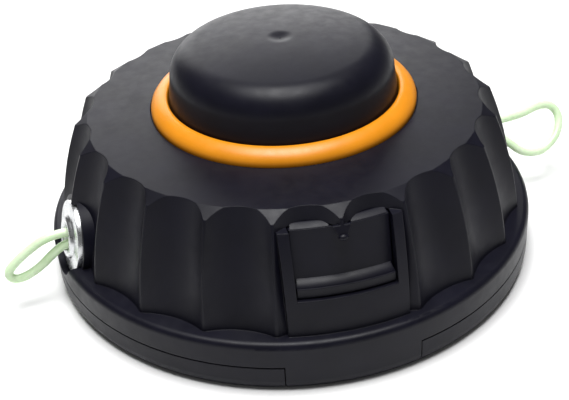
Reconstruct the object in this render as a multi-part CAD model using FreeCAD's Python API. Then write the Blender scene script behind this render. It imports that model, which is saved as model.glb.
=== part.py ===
import FreeCAD, Part
import math
import os

# A bump-feed cutting head for a line trimmer, standing on its drive side with the bump knob up.
# Z is the axis of rotation. The line leaves through two eyelets on the X axis.
# All sizes are millimetres; angles are degrees about Z, counted from +X.

# Rim, where housing and cover meet
rim_radius = 55.0
rim_foot_inset = 1.4
rim_foot_height = 2.6
rim_wall = 2.8
parting_height = 6.2
shelf_height = 11.8
bead_radius = 1.3
spigot_height = 2.8
spigot_wall = 2.4
key_half_angle = 15.1

# Fluted cover
flute_count = 22
shelf_width = 2.5
ridge_lean_low = 2.1
ridge_lean_high = 3.7
ridge_land = 0.2
ridge_corner = 0.5
flute_depth_foot = 2.0
flute_depth_top = 3.8
cover_wall = 2.4
shoulder_width = 3.1
shoulder_drop = 2.0
deck_height = 36.3
deck_rise = 0.5
deck_thickness = 2.3

# Latches: a thumb pad on a sprung arm, seen through a window in a smooth panel
panel_half_width = 12.5
window_half_width = 10.3
window_bottom = 19.4
window_margin = 1.3
pad_recess = 2.4
ledge_height = 2.0
ledge_recess = 0.3
arm_thickness = 2.3
nose_half_width = 1.9
nose_tip_half_width = 0.6
nose_drop = 2.2
nose_root = 0.4
pad_top_recess = 0.9

# Eyelets
eyelet_height = 15.0
eyelet_tilt = 11.0
eyelet_inset = 1.1
eyelet_flange_radius = 8.1
eyelet_flange_thickness = 1.4
eyelet_flange_proud = 0.4
eyelet_collar_radius = 4.6
eyelet_collar_length = 1.0
eyelet_barrel_radius = 4.2
eyelet_barrel_length = 6.2
eyelet_bore_radius = 2.9
eyelet_mouth = 0.7
pocket_lip = 1.0

# Drive side
floor_height = 1.8
floor_thickness = 2.0
drive_boss_radius = 15.0
drive_boss_recess = 0.3
rib_count = 12
rib_thickness = 1.8
rib_recess = 0.4
post_wall = 3.8
post_rise = 3.2
insert_head_flats = 17.0
insert_head_height = 4.0
insert_barrel_radius = 6.8
insert_length = 18.0
thread_core_radius = 4.35
thread_chamfer = 0.7

# Knob and its guide ring
knob_radius = 25.25
knob_skirt_rise = 9.3
knob_shoulder_rise = 3.9
knob_shoulder_width = 4.3
knob_dome_rise = 2.2
knob_wall = 2.4
knob_rib_count = 6
dimple_radius = 2.9
dimple_depth = 0.35
ring_width = 3.8
ring_seat_width = 1.4
ring_proud = 2.5
ring_seat_depth = 0.6
ring_lug_count = 4
ring_lug_angle = 20.0
ring_lug_reach = 1.1

# Spool
knob_travel = 4.5
spool_edge = 1.6
drum_radius = 20.0
drum_wall = 3.0
flange_thickness = 1.8
web_thickness = 1.6
neck_rise = 5.4
lower_bore_step = 1.8
line_diameter = 2.0
line_layers = 5
line_turns_across = 3
leg_count = 4
leg_thickness = 2.2
hook_depth = 0.9
hook_height = 1.8

# Stops that let the spool turn only one step at each bump
dog_count = 6
dog_angle = 12.0
dog_bite = 2.1
dog_width_share = 0.34
foot_dog_radius = 25.0
foot_dog_height = 2.8
dog_play_angle = 0.6
spool_free_angle = 6.0

# Return spring and thrust washer
spring_wire = 1.5
spring_turns = 4.5
points_per_turn = 12
spring_seat_step = 0.8
spring_seat_height = 1.0
washer_width = 4.0
washer_thickness = 1.0

# Clearances
running_gap = 0.3
seat_gap = 0.2
press_gap = 0.05
face_gap = 0.1

# Sizes that follow
rim_foot_radius = rim_radius - rim_foot_inset
shoulder_height = deck_height - shoulder_drop
window_top = shoulder_height - window_margin
knob_shoulder_height = deck_height + knob_skirt_rise
knob_dome_height = knob_shoulder_height + knob_shoulder_rise
knob_crown_height = knob_dome_height + knob_dome_rise
post_radius = insert_barrel_radius + post_wall
ridge_foot_radius = rim_radius - shelf_width
ridge_middle_radius = ridge_foot_radius - ridge_lean_low
ridge_top_radius = ridge_middle_radius - ridge_lean_high
valley_foot_radius = ridge_foot_radius - flute_depth_foot
valley_top_radius = ridge_top_radius - flute_depth_top
eyelet_face = ridge_foot_radius - eyelet_inset
eyelet_seat = eyelet_face - eyelet_flange_thickness
pitch = 360.0 / flute_count
floor_top = floor_height + floor_thickness
deck_under = deck_height - deck_thickness
spigot_radius = rim_radius - rim_wall - seat_gap
foot_dog_top = floor_top + foot_dog_height
spool_bottom = foot_dog_top + running_gap + knob_travel
spool_foot_dog_tip = foot_dog_top - dog_bite + knob_travel
spool_top_dog_tip = deck_under - running_gap
cover_dog_tip = spool_top_dog_tip - dog_bite
spool_top = cover_dog_tip - 3 * running_gap
web_bottom = (spool_bottom + spool_top - web_thickness) / 2
web_top = web_bottom + web_thickness
washer_top = web_bottom - face_gap
post_top = web_top + post_rise
drum_bore = drum_radius - drum_wall
knob_bore = knob_radius - knob_wall
ring_bore = knob_radius + running_gap
ring_radius = ring_bore + ring_width
ring_spigot_radius = ring_radius - ring_seat_width
ring_seat_height = deck_height + deck_rise - ring_seat_depth
dog_room = valley_top_radius - cover_wall - ring_spigot_radius
top_dog_radius = ring_spigot_radius + dog_room / 2
dog_width = dog_width_share * dog_room
spool_radius = top_dog_radius + dog_width / 2 + spool_edge
spring_seat_radius = post_radius + spring_seat_step
neck_top = spool_top + neck_rise
pad_ledge_top = window_bottom + running_gap + ledge_height
latch_angles = [-90 - pitch / 2, 90 - pitch / 2]
eyelet_angles = {"left": 180, "right": 0}


def vec(radius, height, angle=0.0):
    """Point at a radius, a height and an angle about Z."""
    turn = math.radians(angle)
    return FreeCAD.Vector(radius * math.cos(turn), radius * math.sin(turn), height)


def at_height(low, high, height):
    """Radius at a height on the straight line from low to high, both (radius, height)."""
    share = (height - low[1]) / (high[1] - low[1])
    return low[0] + share * (high[0] - low[0])


def outline(start, *steps):
    """Closed face in the XZ plane. A step is an end point, or (through, end) for an arc."""
    edges = []
    here = start
    for step in steps:
        if isinstance(step[0], tuple):
            through, end = step
            edges.append(Part.Arc(vec(*here), vec(*through), vec(*end)).toShape())
        else:
            end = step
            edges.append(Part.LineSegment(vec(*here), vec(*end)).toShape())
        here = end
    edges.append(Part.LineSegment(vec(*here), vec(*start)).toShape())
    return Part.Face(Part.Wire(edges))


def turned(start, *steps):
    """Solid of revolution of an outline about Z."""
    return outline(start, *steps).revolve(FreeCAD.Vector(), FreeCAD.Vector(0, 0, 1), 360)


def turned_sector(middle, width, start, *steps):
    """Part of a solid of revolution, centred on an angle and as wide as given in degrees."""
    shape = outline(start, *steps).revolve(FreeCAD.Vector(), FreeCAD.Vector(0, 0, 1), width)
    shape.rotate(FreeCAD.Vector(), FreeCAD.Vector(0, 0, 1), middle - width / 2)
    return shape


def block_sector(middle, width, inner, outer, low, high):
    """Curved block between two radii and two heights."""
    return turned_sector(middle, width, (inner, low), (outer, low), (outer, high), (inner, high))


def radial_box(angle, inner, outer, half_width, low, high):
    """Straight box that points outwards along an angle."""
    corner = FreeCAD.Vector(inner, -half_width, low)
    box = Part.makeBox(outer - inner, 2 * half_width, high - low, corner)
    box.rotate(FreeCAD.Vector(), FreeCAD.Vector(0, 0, 1), angle)
    return box


def at_eyelet(shape, angle):
    """Moves a shape made along +X to an eyelet's place, tilted about the middle of its face."""
    shape.rotate(FreeCAD.Vector(eyelet_face, 0, 0), FreeCAD.Vector(0, 1, 0), -eyelet_tilt)
    shape.translate(FreeCAD.Vector(0, 0, eyelet_height))
    shape.rotate(FreeCAD.Vector(), FreeCAD.Vector(0, 0, 1), angle)
    return shape


def eyelet_cylinder(angle, radius, inner, outer):
    """Round bar along an eyelet's axis."""
    bar = Part.makeCylinder(radius, outer - inner, FreeCAD.Vector(inner, 0, 0), FreeCAD.Vector(1, 0, 0))
    return at_eyelet(bar, angle)


def around(count, start=0.0):
    """Evenly spaced angles."""
    return [start + k * 360.0 / count for k in range(count)]


def hexagon(flats, low, high):
    """Hexagonal prism about Z."""
    corners = [vec(flats / math.sqrt(3), low, 60 * k) for k in range(7)]
    return Part.Face(Part.makePolygon(corners)).extrude(FreeCAD.Vector(0, 0, high - low))


def pad_face(height):
    """Radius of the thumb pad's sloping face, which lies deeper in the panel towards its foot."""
    middle = (ridge_middle_radius, (shoulder_height + shelf_height) / 2)
    foot = at_height((ridge_foot_radius, shelf_height), middle, pad_ledge_top) - pad_recess
    top = ridge_top_radius - pad_top_recess
    return at_height((foot, pad_ledge_top), (top, window_top - running_gap), height)


# Outer form of the cover

def ridge_envelope():
    """Smooth body that the ridges between the flutes reach."""
    ridge_middle_height = (shoulder_height + shelf_height) / 2
    deck_edge = ridge_top_radius - shoulder_width
    chamfer_foot = (ridge_top_radius - ridge_corner, shoulder_height + ridge_corner)
    corner = (ridge_top_radius - 0.3 * ridge_corner, shoulder_height + 0.6 * ridge_corner)
    low = shelf_height - spigot_height / 2
    return turned((0, low), (ridge_foot_radius, low),
                  ((ridge_middle_radius, ridge_middle_height), (ridge_top_radius, shoulder_height)),
                  (corner, chamfer_foot), (deck_edge, deck_height),
                  (ring_radius + running_gap, deck_height + deck_rise), (0, deck_height + deck_rise))


def flute_section(height, cusp_radius):
    """Closed row of concave arcs at one height, with its cusps on the ridges."""
    valley = at_height((valley_foot_radius, shelf_height), (valley_top_radius, deck_height), height)
    arcs = []
    for k in range(flute_count):
        start = vec(cusp_radius, height, k * pitch)
        through = vec(valley, height, (k + 0.5) * pitch)
        end = vec(cusp_radius, height, (k + 1) * pitch)
        arcs.append(Part.Arc(start, through, end).toShape())
    return Part.Wire(arcs)


def fluted_body():
    """Scalloped body that the envelope trims."""
    low = shelf_height - spigot_height / 2
    middle = (shoulder_height + shelf_height) / 2
    high = deck_height + 2 * deck_rise
    lean = (ridge_top_radius - ridge_middle_radius) / (shoulder_height - middle)
    top_cusp = ridge_top_radius + lean * (high - shoulder_height)
    sections = [flute_section(low, ridge_foot_radius + ridge_land),
                flute_section(middle, ridge_middle_radius + ridge_land),
                flute_section(high, top_cusp + ridge_land)]
    return Part.makeLoft(sections, True, False)


def cover_cavity():
    """Inside of the cover, one wall thickness inside the flute valleys."""
    foot = (valley_foot_radius - cover_wall, shelf_height)
    top = (valley_top_radius - cover_wall, deck_height)
    step_height = parting_height + spigot_height + running_gap
    return turned((0, -1), (rim_radius - rim_wall, -1), (rim_radius - rim_wall, step_height),
                  (at_height(foot, top, step_height), step_height),
                  (at_height(foot, top, deck_under), deck_under), (0, deck_under))


def make_cover():
    """Fluted shell with its deck, latch windows, eyelet seats and hanging dogs."""
    envelope = ridge_envelope()
    shell = fluted_body().common(envelope)
    rim = turned((ridge_foot_radius - rim_wall, parting_height), (rim_radius, parting_height),
                 (rim_radius, shelf_height - bead_radius),
                 ((rim_radius - 0.3 * bead_radius, shelf_height - 0.3 * bead_radius),
                  (rim_radius - bead_radius, shelf_height)),
                 (ridge_foot_radius - rim_wall, shelf_height))
    additions = [rim]
    for angle in latch_angles:
        panel = radial_box(angle, drum_radius, rim_radius, panel_half_width, shelf_height - 1, window_top)
        additions.append(envelope.common(panel))
        key_gap_angle = math.degrees(seat_gap / rim_radius)
        additions.append(rim_sector(angle, key_half_angle - key_gap_angle, parting_height + 1))
    above_parting = Part.makeCylinder(rim_radius, deck_height, FreeCAD.Vector(0, 0, parting_height))
    for angle in eyelet_angles.values():
        boss_radius = eyelet_flange_radius + seat_gap + pocket_lip
        boss = eyelet_cylinder(angle, boss_radius, spool_radius, eyelet_face - eyelet_flange_proud)
        additions.append(boss.common(above_parting))
    shell = shell.fuse(additions)
    cuts = [cover_cavity()]
    cuts.append(turned((0, deck_under - 1), (ring_spigot_radius + seat_gap, deck_under - 1),
                       (ring_spigot_radius + seat_gap, ring_seat_height),
                       (ring_radius + running_gap, ring_seat_height),
                       (ring_radius + running_gap, deck_height + 3), (0, deck_height + 3)))
    for angle in latch_angles:
        cuts.append(radial_box(angle, ridge_top_radius / 2, rim_radius, window_half_width,
                               window_bottom, window_top))
    for angle in eyelet_angles.values():
        cuts.append(eyelet_cylinder(angle, eyelet_flange_radius + seat_gap, eyelet_seat, 2 * rim_radius))
        cuts.append(eyelet_cylinder(angle, eyelet_barrel_radius + press_gap, spool_radius, rim_radius))
    shell = shell.cut(cuts)
    details = []
    nose_bottom = window_top - nose_drop
    for angle in latch_angles:
        details.append(envelope.common(window_nose(angle, nose_bottom, window_top + nose_root)))
    for angle in around(dog_count):
        details.append(block_sector(angle, dog_angle, top_dog_radius - dog_width / 2,
                                    top_dog_radius + dog_width / 2, cover_dog_tip, deck_under + 0.5))
    return shell.fuse(details).removeSplitter()


def window_nose(angle, low, high):
    """Wedge that carries the ridge down over the window, narrow at its foot."""
    reach = pad_face(low) + running_gap
    corners = [(reach, -nose_tip_half_width, low), (reach, nose_tip_half_width, low),
               (reach, nose_half_width, high), (reach, -nose_half_width, high)]
    face = Part.Face(Part.makePolygon([FreeCAD.Vector(*c) for c in corners + corners[:1]]))
    wedge = face.extrude(FreeCAD.Vector(rim_radius - reach, 0, 0))
    wedge.rotate(FreeCAD.Vector(), FreeCAD.Vector(0, 0, 1), angle)
    return wedge


def rim_sector(angle, half_angle, top):
    """Piece of the tapered lower rim, from the ground up to a height."""
    inner = rim_radius - rim_wall
    return turned_sector(angle, 2 * half_angle, (inner, 0), (rim_foot_radius, 0),
                         ((rim_radius - 0.4, 0.45 * rim_foot_height), (rim_radius, rim_foot_height)),
                         (rim_radius, top), (inner, top))


# Drive-side housing

def latch_arm(angle):
    """Sprung arm that rises from the floor and ends in the thumb pad with its ledge."""
    foot = (valley_foot_radius - cover_wall, shelf_height)
    top = (valley_top_radius - cover_wall, deck_height)
    outer = at_height(foot, top, window_bottom) - running_gap
    inner = outer - arm_thickness
    pad_bottom = window_bottom + running_gap
    pad_top = window_top - running_gap
    ledge = pad_face(pad_ledge_top) + pad_recess - ledge_recess
    profile = outline((inner, floor_top - 1), (outer, floor_top - 1), (outer, pad_bottom),
                      (ledge, pad_bottom), (ledge, pad_ledge_top), (pad_face(pad_ledge_top), pad_ledge_top),
                      (pad_face(pad_top), pad_top), (inner, pad_top))
    arm = profile.revolve(FreeCAD.Vector(), FreeCAD.Vector(0, 0, 1), 4 * pitch)
    arm.rotate(FreeCAD.Vector(), FreeCAD.Vector(0, 0, 1), angle - 2 * pitch)
    width = window_half_width - running_gap
    return arm.common(radial_box(angle, drum_radius, rim_radius, width, 0, deck_height))


def make_housing():
    """Floor with rim, spigot, post, ribs, dogs and the two latch arms."""
    spigot_inner = spigot_radius - spigot_wall
    rim_top = parting_height - running_gap
    body = turned((0, drive_boss_recess), (drive_boss_radius, drive_boss_recess),
                  (drive_boss_radius, floor_height), (spigot_inner, floor_height),
                  (spigot_inner + 0.6, 0), (rim_foot_radius, 0),
                  ((rim_radius - 0.4, 0.45 * rim_foot_height), (rim_radius, rim_foot_height)),
                  (rim_radius, rim_top), (spigot_radius, rim_top),
                  (spigot_radius, parting_height + spigot_height),
                  (spigot_inner, parting_height + spigot_height),
                  (spigot_inner, floor_top), (spring_seat_radius, floor_top),
                  (spring_seat_radius, floor_top + spring_seat_height),
                  (post_radius, floor_top + spring_seat_height), (post_radius, post_top), (0, post_top))
    additions = [latch_arm(angle) for angle in latch_angles]
    for angle in around(rib_count, 360.0 / rib_count / 2):
        additions.append(radial_box(angle, drive_boss_radius - 1, spigot_inner + 0.4, rib_thickness / 2,
                                    rib_recess, floor_height + 0.5))
    for angle in around(dog_count, 360.0 / dog_count / 2):
        additions.append(block_sector(angle, dog_angle, foot_dog_radius - dog_width / 2,
                                      foot_dog_radius + dog_width / 2, floor_top - 0.5, foot_dog_top))
    body = body.fuse(additions)
    cuts = [hexagon(insert_head_flats + 2 * press_gap, 0, insert_head_height),
            Part.makeCylinder(insert_barrel_radius + press_gap, insert_length),
            Part.makeCylinder(thread_core_radius + running_gap, post_top - floor_thickness)]
    for angle in latch_angles:
        cuts.append(block_sector(angle, 2 * key_half_angle, rim_radius - rim_wall - seat_gap,
                                 rim_radius + 1, -1, parting_height))
    for angle in eyelet_angles.values():
        notch = eyelet_cylinder(angle, eyelet_flange_radius + 2 * running_gap, spool_radius, rim_radius)
        cuts.append(notch.common(Part.makeCylinder(spigot_radius + seat_gap / 2, deck_height)))
    return body.cut(cuts).removeSplitter()


def make_drive_insert():
    """Steel hexagon-headed bush for the left-hand drive thread."""
    body = hexagon(insert_head_flats, 0, insert_head_height)
    body = body.fuse(Part.makeCylinder(insert_barrel_radius, insert_length))
    mouth = Part.makeCone(thread_core_radius + thread_chamfer, thread_core_radius, thread_chamfer)
    return body.cut([Part.makeCylinder(thread_core_radius, insert_length), mouth]).removeSplitter()


# Knob and guide ring

def make_guide_ring():
    """Coloured collar in the deck that guides the knob, held below by four lugs."""
    foot = deck_under - 4 * running_gap
    crest = deck_height + deck_rise + ring_proud
    edge = deck_height + deck_rise + 0.1
    ring = turned((ring_bore, foot), (ring_spigot_radius, foot), (ring_spigot_radius, ring_seat_height),
                  (ring_radius, ring_seat_height), (ring_radius, edge),
                  ((ring_radius - 0.62 * ring_width, crest), (ring_bore, crest - 0.6)))
    for angle in around(ring_lug_count, 180.0 / ring_lug_count):
        ring = ring.fuse(block_sector(angle, ring_lug_angle, ring_spigot_radius - ring_seat_depth,
                                      ring_spigot_radius + ring_lug_reach, foot, deck_under - running_gap))
    return ring.removeSplitter()


def make_knob():
    """Domed bump knob with a dimple, inner ribs and four snap legs."""
    flat = knob_radius - knob_shoulder_width
    edge = knob_dome_height
    bend = ((knob_radius - 0.27 * knob_shoulder_width, knob_shoulder_height + 0.68 * knob_shoulder_rise),
            (flat, edge))
    rise = ((0.52 * flat, knob_crown_height - 0.27 * knob_dome_rise), (0, knob_crown_height))
    body = turned((0, spool_top), (knob_radius, spool_top), (knob_radius, knob_shoulder_height), bend, rise)
    inside = turned((0, spool_top - 1), (knob_bore, spool_top - 1), (knob_bore, knob_shoulder_height),
                    (flat, edge - knob_wall), (0, knob_crown_height - knob_wall - 0.4))
    shell = body.cut(inside)
    leg_outer = drum_bore - seat_gap
    leg_inner = leg_outer - leg_thickness
    leg_foot = web_top + hook_height
    leg_ring = turned((leg_inner, leg_foot), (leg_outer + hook_depth, leg_foot + 0.4),
                      (leg_outer + hook_depth, leg_foot + hook_height), (leg_outer, leg_foot + hook_height),
                      (leg_outer, edge - knob_wall + 1), (leg_inner, edge - knob_wall + 1))
    for angle in around(leg_count, 45):
        slot = radial_box(angle, 0, drum_radius, leg_thickness, leg_foot - 1, knob_bore + spool_top / 2)
        leg_ring = leg_ring.cut(slot)
    parts = [leg_ring]
    for angle in around(knob_rib_count):
        parts.append(radial_box(angle, leg_outer - 0.5, knob_bore + 0.5, rib_thickness / 2,
                                neck_top + running_gap, edge - knob_wall + 0.5))
    ball = (dimple_radius ** 2 + dimple_depth ** 2) / (2 * dimple_depth)
    dimple = Part.makeSphere(ball, FreeCAD.Vector(0, 0, knob_crown_height - dimple_depth + ball))
    return shell.fuse(parts).common(body.fuse(legs_zone())).cut(dimple).removeSplitter()


def legs_zone():
    """Room below the knob's skirt that its legs reach into."""
    return Part.makeCylinder(drum_radius, spool_top, FreeCAD.Vector(0, 0, 0))


# Spool and what turns with it

def make_spool():
    """Drum with three flanges, an inner web, a neck and stops on both faces."""
    lower_bore = drum_bore - lower_bore_step
    body = turned((drum_bore, web_top), (drum_bore, neck_top), (drum_radius, neck_top),
                  (drum_radius, spool_top),
                  (spool_radius - 1, spool_top), (spool_radius - 1, spool_top - flange_thickness),
                  (drum_radius, spool_top - flange_thickness),
                  (drum_radius, web_top), (spool_radius, web_top), (spool_radius, web_bottom),
                  (drum_radius, web_bottom), (drum_radius, spool_bottom + flange_thickness),
                  (spool_radius, spool_bottom + flange_thickness), (spool_radius, spool_bottom),
                  (lower_bore, spool_bottom), (lower_bore, web_bottom),
                  (post_radius + running_gap, web_bottom), (post_radius + running_gap, web_top))
    additions = []
    step = 360.0 / dog_count
    for angle in around(dog_count, -dog_angle - dog_play_angle):
        additions.append(block_sector(angle, dog_angle, top_dog_radius - dog_width / 2,
                                      top_dog_radius + dog_width / 2, spool_top - 0.5, spool_top_dog_tip))
    for angle in around(dog_count, step / 2 + dog_angle + spool_free_angle):
        additions.append(block_sector(angle, dog_angle, foot_dog_radius - dog_width / 2,
                                      foot_dog_radius + dog_width / 2,
                                      spool_foot_dog_tip, spool_bottom + 0.5))
    body = body.fuse(additions)
    groove = turned((drum_bore - 1, web_top + hook_height - running_gap),
                    (drum_bore + hook_depth, web_top + hook_height - running_gap),
                    (drum_bore + hook_depth, web_top + 2 * hook_height + running_gap),
                    (drum_bore - 1, web_top + 2 * hook_height + running_gap))
    cuts = [groove]
    for angle in (90, 270):
        cuts.append(radial_box(angle, spool_radius - 2 * line_diameter, spool_radius + 1, line_diameter,
                               web_bottom - 1, web_top + 1))
    return body.cut(cuts).removeSplitter()


def make_winding(low, high):
    """Turns of line on the drum, as one ridged ring."""
    crest = drum_radius + line_layers * line_diameter
    valley = crest - 0.3 * line_diameter
    width = (high - low) / line_turns_across
    steps = []
    for k in range(line_turns_across):
        steps.append(((crest, low + (k + 0.5) * width), (valley, low + (k + 1) * width)))
    return turned((drum_radius, low), (valley, low), *steps, (drum_radius, high))


def make_washer():
    """Flat ring between the spring and the spool's web."""
    inner = post_radius + running_gap
    outer = inner + washer_width
    low = washer_top - washer_thickness
    return turned((inner, low), (outer, low), (outer, washer_top), (inner, washer_top))


def make_spring():
    """Round-wire helix from the floor to the washer."""
    mean = spring_seat_radius + seat_gap + spring_wire / 2
    low = floor_top + spring_wire / 2
    high = washer_top - washer_thickness - spring_wire / 2
    steps = round(points_per_turn * spring_turns)
    points = [vec(mean, low + (high - low) * k / steps, 360 * k / points_per_turn) for k in range(steps + 1)]
    line = Part.BSplineCurve()
    line.interpolate(points)
    direction = line.tangent(line.FirstParameter)[0]
    section = Part.Wire(Part.Circle(points[0], direction, spring_wire / 2).toShape())
    return Part.Wire(line.toShape()).makePipeShell([section], True, True)


# Eyelets

def make_eyelet(side):
    """Turned metal sleeve with a seat flange, a stepped collar and a rounded mouth."""
    nose = eyelet_face + eyelet_collar_length
    tail = eyelet_face - eyelet_barrel_length
    mouth = eyelet_mouth
    bend_height = nose - 0.3 * mouth
    profile = outline((eyelet_bore_radius, tail), (eyelet_barrel_radius, tail),
                      (eyelet_barrel_radius, eyelet_seat), (eyelet_flange_radius, eyelet_seat),
                      (eyelet_flange_radius, eyelet_face), (eyelet_collar_radius, eyelet_face),
                      (eyelet_collar_radius, nose - mouth),
                      ((eyelet_collar_radius - 0.3 * mouth, bend_height),
                       (eyelet_collar_radius - mouth, nose)),
                      ((eyelet_bore_radius + 0.3 * mouth, bend_height), (eyelet_bore_radius, nose - mouth)))
    sleeve = profile.revolve(FreeCAD.Vector(), FreeCAD.Vector(0, 0, 1), 360)
    sleeve.rotate(FreeCAD.Vector(), FreeCAD.Vector(0, 1, 0), 90)
    return at_eyelet(sleeve, eyelet_angles[side])


# Line loops, as they come out of one eyelet and go back into it

# Each point is (outwards, sideways, upwards) from the middle of the eyelet's face
line_loop_points = {
    "left": [(-8.6, 0.1, -0.4), (-3.2, 0.0, 0.7), (1.2, 0.1, 1.5), (6.0, 0.0, 1.3), (10.2, 0.0, -0.9),
             (13.4, 0.0, -3.1), (15.3, 0.0, -5.2), (14.3, -0.1, -7.2), (11.4, -0.3, -7.1), (7.8, -0.1, -5.5),
             (4.8, 0.0, -3.1), (1.6, 0.0, -1.3), (-2.8, 0.0, -1.7), (-8.2, 0.1, -2.8)],
    "right": [(-8.3, -0.9, -2.3), (-3.0, -0.8, -1.3), (2.0, -0.9, -0.7), (5.2, -3.5, -3.1), (8.2, -5.3, -6.0),
              (12.9, -6.1, -6.8), (17.3, -5.0, -5.0), (19.8, -3.2, -2.7), (20.8, -0.9, -0.2),
              (19.2, 0.6, 1.9), (15.6, 1.0, 2.2), (11.2, 0.3, 1.4), (6.2, 0.1, 1.4),
              (1.2, 0.7, 1.2), (-3.2, 0.8, 0.4), (-8.5, 0.9, -0.7)],
}


def make_line_loop(side):
    """Tube along straight runs joined by tangent arcs."""
    way = math.cos(math.radians(eyelet_angles[side]))
    points = []
    for out, across, up in line_loop_points[side]:
        points.append(FreeCAD.Vector(way * (eyelet_face + out), across, eyelet_height + up))
    edges = []
    here = points[0]
    radii = []
    for before, corner, after in zip(points, points[1:], points[2:]):
        arriving = (corner - before).normalize()
        leaving = (after - corner).normalize()
        trim = 0.45 * min((corner - before).Length, (after - corner).Length)
        half_turn = arriving.getAngle(leaving) / 2
        radii.append(trim / math.tan(half_turn))
        start = corner - arriving * trim
        end = corner + leaving * trim
        bisector = (leaving - arriving).normalize()
        sagitta = radii[-1] * (1 / math.cos(half_turn) - 1)
        edges.append(Part.LineSegment(here, start).toShape())
        edges.append(Part.Arc(start, corner + bisector * sagitta, end).toShape())
        here = end
    edges.append(Part.LineSegment(here, points[-1]).toShape())
    path = Part.Wire(edges)
    section = Part.Wire(Part.Circle(points[0], points[1] - points[0], line_diameter / 2).toShape())
    tube = path.makePipeShell([section], True, True)
    expected = math.pi * line_diameter ** 2 / 4 * path.Length
    print(side, "line length", round(path.Length, 1), "radii", [round(r, 1) for r in radii],
          "volume share", round(tube.Volume / expected, 4))
    return tube


os.makedirs("parts", exist_ok=True)
parts = {
    "base_housing": make_housing(),
    "cover_shell": make_cover(),
    "drive_insert": make_drive_insert(),
    "guide_ring": make_guide_ring(),
    "bump_knob": make_knob(),
    "spool": make_spool(),
    "line_winding_lower": make_winding(spool_bottom + flange_thickness, web_bottom),
    "line_winding_upper": make_winding(web_top, spool_top - flange_thickness),
    "thrust_washer": make_washer(),
    "return_spring": make_spring(),
}
for side in eyelet_angles:
    parts["eyelet_" + side] = make_eyelet(side)
    parts["line_loop_" + side] = make_line_loop(side)
for name, shape in parts.items():
    shape.exportStep("parts/" + name + ".step")
    print(name, "solids", len(shape.Solids), "valid", shape.isValid(), "volume", round(shape.Volume, 1))
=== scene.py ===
import bpy
import math
from mathutils import Matrix, Vector


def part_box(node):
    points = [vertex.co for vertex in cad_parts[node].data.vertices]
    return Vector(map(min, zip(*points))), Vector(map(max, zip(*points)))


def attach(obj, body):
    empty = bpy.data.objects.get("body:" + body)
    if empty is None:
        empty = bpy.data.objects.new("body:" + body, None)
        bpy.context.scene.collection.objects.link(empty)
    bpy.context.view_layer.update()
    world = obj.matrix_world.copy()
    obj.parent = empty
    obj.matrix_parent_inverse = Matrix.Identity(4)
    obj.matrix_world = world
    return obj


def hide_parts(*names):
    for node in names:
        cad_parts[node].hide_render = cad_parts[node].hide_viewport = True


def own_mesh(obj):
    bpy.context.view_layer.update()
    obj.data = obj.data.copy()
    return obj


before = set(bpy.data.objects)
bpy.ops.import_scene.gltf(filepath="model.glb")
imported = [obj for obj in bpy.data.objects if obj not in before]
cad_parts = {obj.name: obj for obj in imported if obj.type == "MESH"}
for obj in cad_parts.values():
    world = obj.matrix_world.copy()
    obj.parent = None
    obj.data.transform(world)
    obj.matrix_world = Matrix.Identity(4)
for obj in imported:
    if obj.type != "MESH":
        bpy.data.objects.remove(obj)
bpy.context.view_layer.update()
mm = 0.001

# Camera, fitted to the circles of the rim, ring and knob
camera_target = Vector((-1.18, 0.42, 9.49)) * mm
camera_distance = 270.5 * mm
camera_azimuth = math.radians(-19.7)
camera_elevation = math.radians(33.5)
camera_roll = math.radians(-3.68)
lens_in_pixels = 1150.0
photo_width = 569.0
sensor_width = 36.0

# Line, in metres
line_diameter = 2.0 * mm

# Eyelets, in mm and degrees
eyelet_face = 51.4
eyelet_height = 15.0
eyelet_tilt = 11.0
eyelet_proud = 0.6

# Knob, in mm
knob_foot = 30.7
knob_draft_start = 38.6
knob_crown = 51.7
knob_foot_radius = 25.25
knob_skirt_top_radius = 24.6
knob_shoulder_radius = 6.5
knob_dome_radius = 140.0
knob_inner_radius = 22.7
dimple_radius = 2.9
dimple_depth = 0.5
leg_angles = (0, 90, 180, 270)
leg_width = 74

# Guide ring's lugs, in degrees
lug_angles = (45, 135, 225, 315)
lug_width = 20

# Drive bush and its left-hand thread, in mm
bush_length = 18.0
bush_barrel_radius = 6.8
bush_mouth_radius = 5.5
bush_head_height = 4.0
bush_head_half_width = 8.5
bush_head_chamfer = 0.35
thread_core_radius = 4.35
thread_depth = 0.6
thread_pitch = 1.25
thread_length = 17.3

# Return spring, with its wire in mm
spring_wire_radius = 0.75
spring_turns = 4.5

# Latches, in mm and degrees
latch_angles = (-98.18, 81.82)
ledge_width = 23.0
lip_width = 9.6
lip_offset = 7.6
nose_tip_radius = 47.85
nose_tip_height = 31.2

# Span that nearly all of a noise's values lie in
noise_range = (0.3, 0.7)

# Floor, surroundings and body colours
floor_colour = (0.92, 0.92, 0.92, 1)
world_strength = 0.12
charcoal_dark = (0.0034, 0.0033, 0.0074)
charcoal_light = (0.0052, 0.005, 0.0112)


def make_camera():
    """Camera at the photograph's viewing angle, with its slight roll."""
    flat = Vector((math.sin(camera_azimuth), -math.cos(camera_azimuth), 0))
    back = flat * math.cos(camera_elevation) + Vector((0, 0, math.sin(camera_elevation)))
    level_right = Vector((0, 0, 1)).cross(back).normalized()
    level_up = back.cross(level_right)
    right = level_right * math.cos(camera_roll) + level_up * math.sin(camera_roll)
    up = back.cross(right)
    data = bpy.data.cameras.new("camera")
    data.sensor_width = sensor_width
    data.lens = lens_in_pixels * sensor_width / photo_width
    data.clip_start = 0.01
    data.clip_end = 20
    camera = bpy.data.objects.new("camera", data)
    place = Matrix((right, up, back)).transposed().to_4x4()
    place.translation = camera_target + back * camera_distance
    camera.matrix_world = place
    bpy.context.scene.collection.objects.link(camera)
    bpy.context.scene.camera = camera


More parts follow.
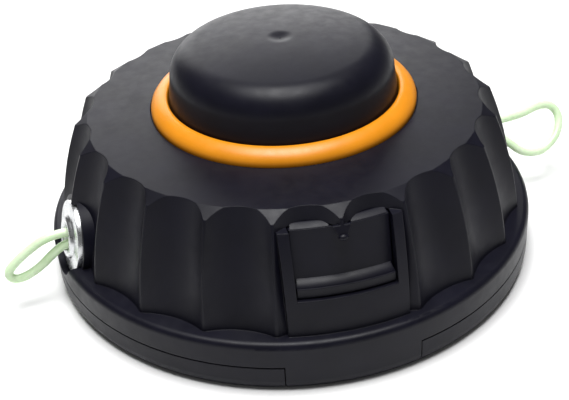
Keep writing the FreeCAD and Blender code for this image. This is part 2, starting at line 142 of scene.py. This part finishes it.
class Material:
    """A node material around one Principled shader."""

    def __init__(self, name, **settings):
        self.data = bpy.data.materials.new(name)
        self.data.use_nodes = True
        self.nodes = self.data.node_tree.nodes
        self.links = self.data.node_tree.links
        self.shader = self.nodes["Principled BSDF"]
        self.place = self.nodes.new("ShaderNodeTexCoord").outputs["Object"]
        for socket, value in settings.items():
            self.shader.inputs[socket.replace("_", " ")].default_value = value

    def noise(self, size, detail, stretch=(1, 1, 1)):
        """Noise whose blotches are about this size, in metres."""
        mapping = self.nodes.new("ShaderNodeMapping")
        mapping.inputs["Scale"].default_value = stretch
        self.links.new(self.place, mapping.inputs["Vector"])
        node = self.nodes.new("ShaderNodeTexNoise")
        node.inputs["Scale"].default_value = 1 / size
        node.inputs["Detail"].default_value = detail
        self.links.new(mapping.outputs["Vector"], node.inputs["Vector"])
        return node.outputs["Fac"]

    def ramp(self, source, dark, light):
        """Colour that goes from dark to light over the noise's usual range."""
        node = self.nodes.new("ShaderNodeValToRGB")
        for element, position, colour in zip(node.color_ramp.elements, noise_range, (dark, light)):
            element.position = position
            element.color = (*colour, 1)
        self.links.new(source, node.inputs["Fac"])
        return node.outputs["Color"]

    def spread(self, source, low, high):
        """Number that goes from low to high over the noise's usual range."""
        node = self.nodes.new("ShaderNodeMapRange")
        node.inputs["From Min"].default_value = noise_range[0]
        node.inputs["From Max"].default_value = noise_range[1]
        node.inputs["To Min"].default_value = low
        node.inputs["To Max"].default_value = high
        self.links.new(source, node.inputs["Value"])
        return node.outputs["Result"]

    def bump(self, source, height, strength=1.0, under=None):
        """Surface relief of this height, in metres."""
        node = self.nodes.new("ShaderNodeBump")
        node.inputs["Distance"].default_value = height
        node.inputs["Strength"].default_value = strength
        self.links.new(source, node.inputs["Height"])
        if under is not None:
            self.links.new(under, node.inputs["Normal"])
        return node.outputs["Normal"]

    def connect(self, source, socket):
        self.links.new(source, self.shader.inputs[socket])


def moulded_nylon(name, dark, light, rough_low, rough_high, relief):
    """Moulded plastic: faintly blotchy colour, fine grain, softened edges and a low gloss."""
    material = Material(name, Specular_IOR_Level=0.19)
    blotch = material.noise(9 * mm, 4)
    material.connect(material.ramp(blotch, dark, light), "Base Color")
    material.connect(material.spread(material.noise(2.2 * mm, 5), rough_low, rough_high), "Roughness")
    edge = material.nodes.new("ShaderNodeBevel")
    edge.samples = 4
    edge.inputs["Radius"].default_value = 0.3 * mm
    grain = material.bump(material.noise(0.28 * mm, 2), relief, under=edge.outputs["Normal"])
    wave = material.bump(material.noise(5 * mm, 2), 2 * relief, 0.5, grain)
    material.connect(wave, "Normal")
    return material.data


def ring_plastic():
    """Smooth orange plastic."""
    material = Material("ring_plastic", Specular_IOR_Level=0.4)
    blotch = material.noise(6 * mm, 3)
    material.connect(material.ramp(blotch, (0.70, 0.245, 0.006), (0.76, 0.27, 0.009)), "Base Color")
    material.connect(material.spread(material.noise(1.5 * mm, 4), 0.33, 0.42), "Roughness")
    material.connect(material.bump(material.noise(0.4 * mm, 2), 0.004 * mm), "Normal")
    return material.data


def turned_metal(name, dark, light, rough):
    """Bright turned metal with fine tool marks."""
    material = Material(name, Metallic=1.0)
    material.connect(material.ramp(material.noise(3 * mm, 4), dark, light), "Base Color")
    material.connect(material.spread(material.noise(0.8 * mm, 4), rough - 0.06, rough + 0.08), "Roughness")
    marks = material.noise(0.25 * mm, 2, stretch=(4, 1, 1))
    material.connect(material.bump(marks, 0.002 * mm), "Normal")
    return material.data


def line_nylon():
    """Pale green translucent nylon."""
    material = Material("line_nylon", Subsurface_Weight=0.5, Subsurface_Scale=1.2 * mm)
    material.shader.inputs["Subsurface Radius"].default_value = (0.9, 1.0, 0.8)
    streak = material.noise(6 * mm, 2)
    material.connect(material.ramp(streak, (0.66, 0.84, 0.55), (0.76, 0.90, 0.66)), "Base Color")
    material.connect(material.spread(material.noise(1.0 * mm, 3), 0.18, 0.32), "Roughness")
    material.connect(material.bump(material.noise(1.5 * mm, 2), 0.006 * mm), "Normal")
    return material.data


def paint(piece, material):
    """Gives a piece this one material."""
    piece.data.materials.clear()
    piece.data.materials.append(material)


# Turned and moulded pieces whose finer form replaces a plain solid

def add_piece(name, corners, faces, material, body, sharp_angle=35):
    """Mesh object from corners in mm, smooth but for its sharp edges."""
    mesh = bpy.data.meshes.new(name)
    mesh.from_pydata([Vector(c) * mm for c in corners], [], faces)
    mesh.polygons.foreach_set("use_smooth", [True] * len(mesh.polygons))
    mesh.set_sharp_from_angle(angle=math.radians(sharp_angle))
    mesh.materials.append(material)
    piece = bpy.data.objects.new(name, mesh)
    bpy.context.scene.collection.objects.link(piece)
    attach(piece, body)
    return piece


def ring_faces(rings, columns):
    """Faces between neighbouring closed rings, the last ring joined to the first."""
    faces = []
    for i in range(rings):
        low = i * columns
        high = (i + 1) % rings * columns
        for k in range(columns):
            after = (k + 1) % columns
            faces.append((low + k, low + after, high + after, high + k))
    return faces


def capped_faces(rings, columns):
    """Faces between neighbouring closed rings, with the first and last ring closed."""
    last = (rings - 1) * columns
    faces = ring_faces(rings, columns)[:-columns]
    faces.append(tuple(range(columns - 1, -1, -1)))
    faces.append(tuple(range(last, last + columns)))
    return faces


def ring_corners(rings, columns):
    """Corners of rings about Z, each a height with its radius at every column."""
    corners = []
    for height, radii in rings:
        for k, radius in enumerate(radii):
            turn = 2 * math.pi * k / columns
            corners.append((radius * math.cos(turn), radius * math.sin(turn), height))
    return corners


def turned_corners(profile, columns):
    """Corners of a closed (radius, height) profile turned about Z."""
    return ring_corners([(height, [radius] * columns) for radius, height in profile], columns)


def add_sector(corners, faces, profile, middle, width, steps):
    """Adds a closed profile turned through this width of a circle, in degrees."""
    first = len(corners)
    for k in range(steps + 1):
        turn = math.radians(middle + width * (k / steps - 0.5))
        corners.extend((r * math.cos(turn), r * math.sin(turn), z) for r, z in profile)
    count = len(profile)
    last = first + steps * count
    faces.append(tuple(range(first, first + count)))
    faces.append(tuple(range(last + count - 1, last - 1, -1)))
    for k in range(steps):
        for i in range(count):
            a = first + k * count + i
            b = first + k * count + (i + 1) % count
            faces.append((a, a + count, b + count, b))


def knob_profile():
    """Outline of the knob's cap: drafted skirt, soft shoulder, shallow dome with its dimple, and inside."""
    foot, top = knob_foot_radius, knob_skirt_top_radius
    shoulder, dome = knob_shoulder_radius, knob_dome_radius
    across = top - shoulder
    dome_centre = knob_crown - dome
    height = dome_centre + math.sqrt((dome - shoulder) ** 2 - across ** 2)
    tilt = math.atan2(across, height - dome_centre)
    profile = [(knob_inner_radius, knob_foot), (foot - 0.3, knob_foot), (foot, knob_foot + 0.3)]
    skirt_steps, shoulder_steps, dome_steps = 4, 14, 40
    for k in range(skirt_steps):
        share = k / skirt_steps
        profile.append((foot + (top - foot) * share, knob_draft_start + (height - knob_draft_start) * share))
    for k in range(shoulder_steps + 1):
        turn = (math.pi / 2 - tilt) * k / shoulder_steps
        profile.append((across + shoulder * math.cos(turn), height + shoulder * math.sin(turn)))
    for k in range(1, dome_steps):
        radius = dome * math.sin(tilt) * (1 - k / dome_steps)
        dent = dimple_depth * max(0.0, 1 - (radius / dimple_radius) ** 2) ** 2
        profile.append((radius, dome_centre + math.sqrt(dome ** 2 - radius ** 2) - dent))
    profile += [(0.15, knob_crown - dimple_depth), (0.15, 48.8), (17.0, 47.6), (20.6, 46.0), (22.2, 43.4)]
    profile.append((knob_inner_radius, 39.0))
    return profile


def make_knob(material):
    """Knob's cap with its snap legs."""
    columns = 180
    profile = knob_profile()
    corners = turned_corners(profile, columns)
    faces = ring_faces(len(profile), columns)
    leg = [(14.6, 23.7), (17.7, 24.1), (17.7, 25.5), (16.8, 25.5), (16.8, 47.9), (14.6, 48.0)]
    for angle in leg_angles:
        add_sector(corners, faces, leg, angle, leg_width, 18)
    knob = add_piece("knob", corners, faces, material, "feed_spool")
    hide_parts("bump_knob")


def make_ring(material):
    """Guide ring with a full rounded top that is highest next to the knob, and its lugs."""
    profile = [(25.55, 32.8), (27.95, 32.8), (27.95, 36.2), (29.35, 36.2), (29.4, 36.8), (29.4, 37.3),
               (29.2, 37.9), (28.8, 38.45), (28.2, 39.0), (27.5, 39.4), (26.8, 39.7), (26.3, 39.8),
               (25.9, 39.75), (25.65, 39.6), (25.55, 39.3)]
    columns = 200
    corners = turned_corners(profile, columns)
    faces = ring_faces(len(profile), columns)
    lug = [(27.6, 32.8), (29.05, 32.8), (29.05, 33.7), (27.6, 33.7)]
    for angle in lug_angles:
        add_sector(corners, faces, lug, angle, lug_width, 6)
    ring = add_piece("ring", corners, faces, material, "housing", 50)
    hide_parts("guide_ring")


def make_eyelet(side, material):
    """Turned eyelet with softened edges and a rolled lip."""
    profile = [(2.9, -6.2), (4.2, -6.2), (4.2, -1.6), (8.1, -1.6), (8.1, -0.3), (8.0, -0.1), (7.8, 0.0),
               (5.2, 0.0), (4.85, 0.1), (4.65, 0.35), (4.5, 0.7), (4.15, 0.95), (3.75, 1.0), (3.35, 0.85),
               (3.05, 0.55), (2.9, 0.1)]
    columns = 96
    way = 0 if side == "right" else math.pi
    place = (Matrix.Rotation(way, 4, "Z") @ Matrix.Translation((eyelet_face, 0, eyelet_height))
             @ Matrix.Rotation(math.radians(90 - eyelet_tilt), 4, "Y")
             @ Matrix.Translation((0, 0, eyelet_proud)))
    corners = [place @ Vector(c) for c in turned_corners(profile, columns)]
    eyelet = add_piece("eyelet_form_" + side, corners, ring_faces(len(profile), columns), material, "housing")
    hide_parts("eyelet_" + side)


def make_drive_insert(material):
    """Hexagon-headed bush with its left-hand thread cut."""
    columns = 96
    thread_steps, fade_steps = 110, 8
    rings = []
    for i in range(thread_steps + 1):
        height = bush_length - i * thread_length / thread_steps
        depth = thread_depth * min(1.0, i / fade_steps)
        turns = [(height / thread_pitch + k / columns) % 1.0 for k in range(columns)]
        rings.append((height, [thread_core_radius + depth * abs(2 * t - 1) for t in turns]))
    angles_from_flat = [360 * k / columns % 60 - 30 for k in range(columns)]
    head = [bush_head_half_width / math.cos(math.radians(angle)) for angle in angles_from_flat]
    rings.append((0.0, [bush_mouth_radius] * columns))
    rings.append((0.0, [radius - bush_head_chamfer for radius in head]))
    rings.append((bush_head_chamfer, head))
    rings.append((bush_head_height, head))
    rings.append((bush_head_height, [bush_barrel_radius] * columns))
    rings.append((bush_length, [bush_barrel_radius] * columns))
    corners = ring_corners(rings, columns)
    bush = add_piece("threaded_bush", corners, ring_faces(len(rings), columns), material, "housing", 30)
    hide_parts("drive_insert")


def make_spring(material):
    """Round-wire coil as tall as the return spring's solid."""
    low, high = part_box("return_spring")
    free_height = high[2] - low[2]
    mean = high[0] / mm - spring_wire_radius
    rise = free_height / mm - 2 * spring_wire_radius
    whole_turn = 2 * math.pi * spring_turns
    steps, sides = 144, 14
    corners = []
    for k in range(steps + 1):
        turn = whole_turn * k / steps
        height = low[2] / mm + spring_wire_radius + rise * k / steps
        outwards = Vector((math.cos(turn), math.sin(turn), 0))
        forwards = Vector((-math.sin(turn), math.cos(turn), 0))
        along = (whole_turn * mean * forwards + Vector((0, 0, rise))).normalized()
        downwards = along.cross(outwards)
        middle = mean * outwards + Vector((0, 0, height))
        for side in range(sides):
            angle = 2 * math.pi * side / sides
            offset = outwards * math.cos(angle) + downwards * math.sin(angle)
            corners.append(middle + spring_wire_radius * offset)
    spring = add_piece("spring_coil", corners, capped_faces(steps + 1, sides), material, "housing", 50)
    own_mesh(spring)
    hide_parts("return_spring")


def make_latch_edges(number, middle, material):
    """Sloping edges on the ledge and along the top of a thumb pad, on both sides of the window's nose."""
    ledge = [(46.6, 21.6), (50.0, 21.6), (49.9, 21.85), (47.9, 22.85), (46.6, 22.9)]
    lip = [(43.9, 32.5), (45.55, 32.5), (45.6, 32.75), (44.4, 33.4), (43.9, 33.4)]
    corners = []
    faces = []
    add_sector(corners, faces, ledge, middle, ledge_width, 24)
    for offset in (-lip_offset, lip_offset):
        add_sector(corners, faces, lip, middle + offset, lip_width, 12)
    edges = add_piece("latch_edges_" + str(number), corners, faces, material, "housing", 50)


def make_nose_bead(number, middle, material):
    """Low bead on the tip of the window's nose, wider than it is deep."""
    profile = [(0.02, -0.7), (0.6, -0.55), (1.0, 0.0), (0.7, 0.45), (0.02, 0.6)]
    depth_scale, width_scale = 0.8, 1.1
    columns = 16
    place = (Matrix.Rotation(math.radians(middle), 4, "Z")
             @ Matrix.Translation((nose_tip_radius, 0, nose_tip_height)))
    round_corners = turned_corners(profile, columns)
    corners = [place @ Vector((depth_scale * x, width_scale * y, z)) for x, y, z in round_corners]
    bead = add_piece("nose_bead_" + str(number), corners, capped_faces(len(profile), columns), material,
                     "housing", 80)


# Line loops, along the routes that the solids follow

# Each point is (outwards, sideways, upwards) in mm from the middle of the eyelet's face
line_loop_points = {
    "left": [(-8.6, 0.1, -0.4), (-3.2, 0.0, 0.7), (1.2, 0.1, 1.5), (6.0, 0.0, 1.3), (10.2, 0.0, -0.9),
             (13.4, 0.0, -3.1), (15.3, 0.0, -5.2), (14.3, -0.1, -7.2), (11.4, -0.3, -7.1), (7.8, -0.1, -5.5),
             (4.8, 0.0, -3.1), (1.6, 0.0, -1.3), (-2.8, 0.0, -1.7), (-8.2, 0.1, -2.8)],
    "right": [(-8.3, -0.9, -2.3), (-3.0, -0.8, -1.3), (2.0, -0.9, -0.7), (5.2, -3.5, -3.1), (8.2, -5.3, -6.0),
              (12.9, -6.1, -6.8), (17.3, -5.0, -5.0), (19.8, -3.2, -2.7), (20.8, -0.9, -0.2),
              (19.2, 0.6, 1.9), (15.6, 1.0, 2.2), (11.2, 0.3, 1.4), (6.2, 0.1, 1.4),
              (1.2, 0.7, 1.2), (-3.2, 0.8, 0.4), (-8.5, 0.9, -0.7)],
}


def make_line_loop(side, material):
    """Smooth round line through the eyelet and back."""
    way = -1 if side == "left" else 1
    face = Vector((way * eyelet_face, 0, eyelet_height)) * mm
    points = [face + Vector((way * out, across, up)) * mm for out, across, up in line_loop_points[side]]
    curve = bpy.data.curves.new("loop_" + side, "CURVE")
    curve.dimensions = "3D"
    curve.bevel_depth = line_diameter / 2
    curve.bevel_resolution = 6
    curve.resolution_u = 10
    curve.use_fill_caps = True
    spline = curve.splines.new("NURBS")
    spline.points.add(len(points) - 1)
    for target, point in zip(spline.points, points):
        target.co = (*point, 1)
    spline.order_u = 3
    spline.use_endpoint_u = True
    curve.materials.append(material)
    loop = bpy.data.objects.new("loop_" + side, curve)
    bpy.context.scene.collection.objects.link(loop)
    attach(loop, "housing")
    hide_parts("line_loop_" + side)


def make_stage():
    """White floor that runs on to the horizon, and soft studio lights."""
    bpy.ops.mesh.primitive_plane_add(size=8, location=(0, 0, 0))
    floor = bpy.context.object
    floor.name = "floor"
    white = Material("floor_white", Roughness=0.9)
    white.shader.inputs["Base Color"].default_value = floor_colour
    paint(floor, white.data)
    world = bpy.data.worlds.new("studio")
    world.use_nodes = True
    world.node_tree.nodes["Background"].inputs["Color"].default_value = (1, 1, 1, 1)
    world.node_tree.nodes["Background"].inputs["Strength"].default_value = world_strength
    bpy.context.scene.world = world
    bpy.context.scene.view_settings.view_transform = "Standard"
    add_light("top", place=(-0.02, -0.02, 0.75), size=0.42, power=8.5)
    add_light("back", place=(0.2, 0.98, 0.22), size=0.8, power=6.5)


def add_light(name, place, size, power):
    """Square soft light that faces the object."""
    data = bpy.data.lights.new(name, "AREA")
    data.size = size
    data.energy = power
    light = bpy.data.objects.new(name, data)
    light.location = place
    light.rotation_euler = Vector(place).to_track_quat("Z", "Y").to_euler()
    bpy.context.scene.collection.objects.link(light)


make_camera()
make_stage()

body_nylon = moulded_nylon("body_nylon", charcoal_dark, charcoal_light, 0.38, 0.47, 0.012 * mm)
knob_nylon = moulded_nylon("knob_nylon", charcoal_dark, charcoal_light, 0.38, 0.47, 0.012 * mm)
spool_nylon = moulded_nylon("spool_nylon", (0.03, 0.03, 0.032), (0.05, 0.05, 0.055), 0.4, 0.55, 0.01 * mm)
acetal = moulded_nylon("washer_acetal", (0.7, 0.7, 0.66), (0.8, 0.8, 0.76), 0.3, 0.4, 0.004 * mm)
bright_metal = turned_metal("eyelet_metal", (0.55, 0.56, 0.57), (0.7, 0.71, 0.72), 0.28)
plated_steel = turned_metal("plated_steel", (0.42, 0.43, 0.45), (0.58, 0.59, 0.61), 0.32)
line_green = line_nylon()

make_knob(knob_nylon)
make_ring(ring_plastic())
make_drive_insert(plated_steel)
make_spring(plated_steel)
for number, middle in enumerate(latch_angles):
    make_latch_edges(number, middle, body_nylon)
    make_nose_bead(number, middle, body_nylon)
for side in line_loop_points:
    make_eyelet(side, bright_metal)
    make_line_loop(side, line_green)

finishes = {
    "base_housing": body_nylon,
    "cover_shell": body_nylon,
    "spool": spool_nylon,
    "line_winding_lower": line_green,
    "line_winding_upper": line_green,
    "thrust_washer": acetal,
}
for node, material in finishes.items():
    paint(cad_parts[node], material)
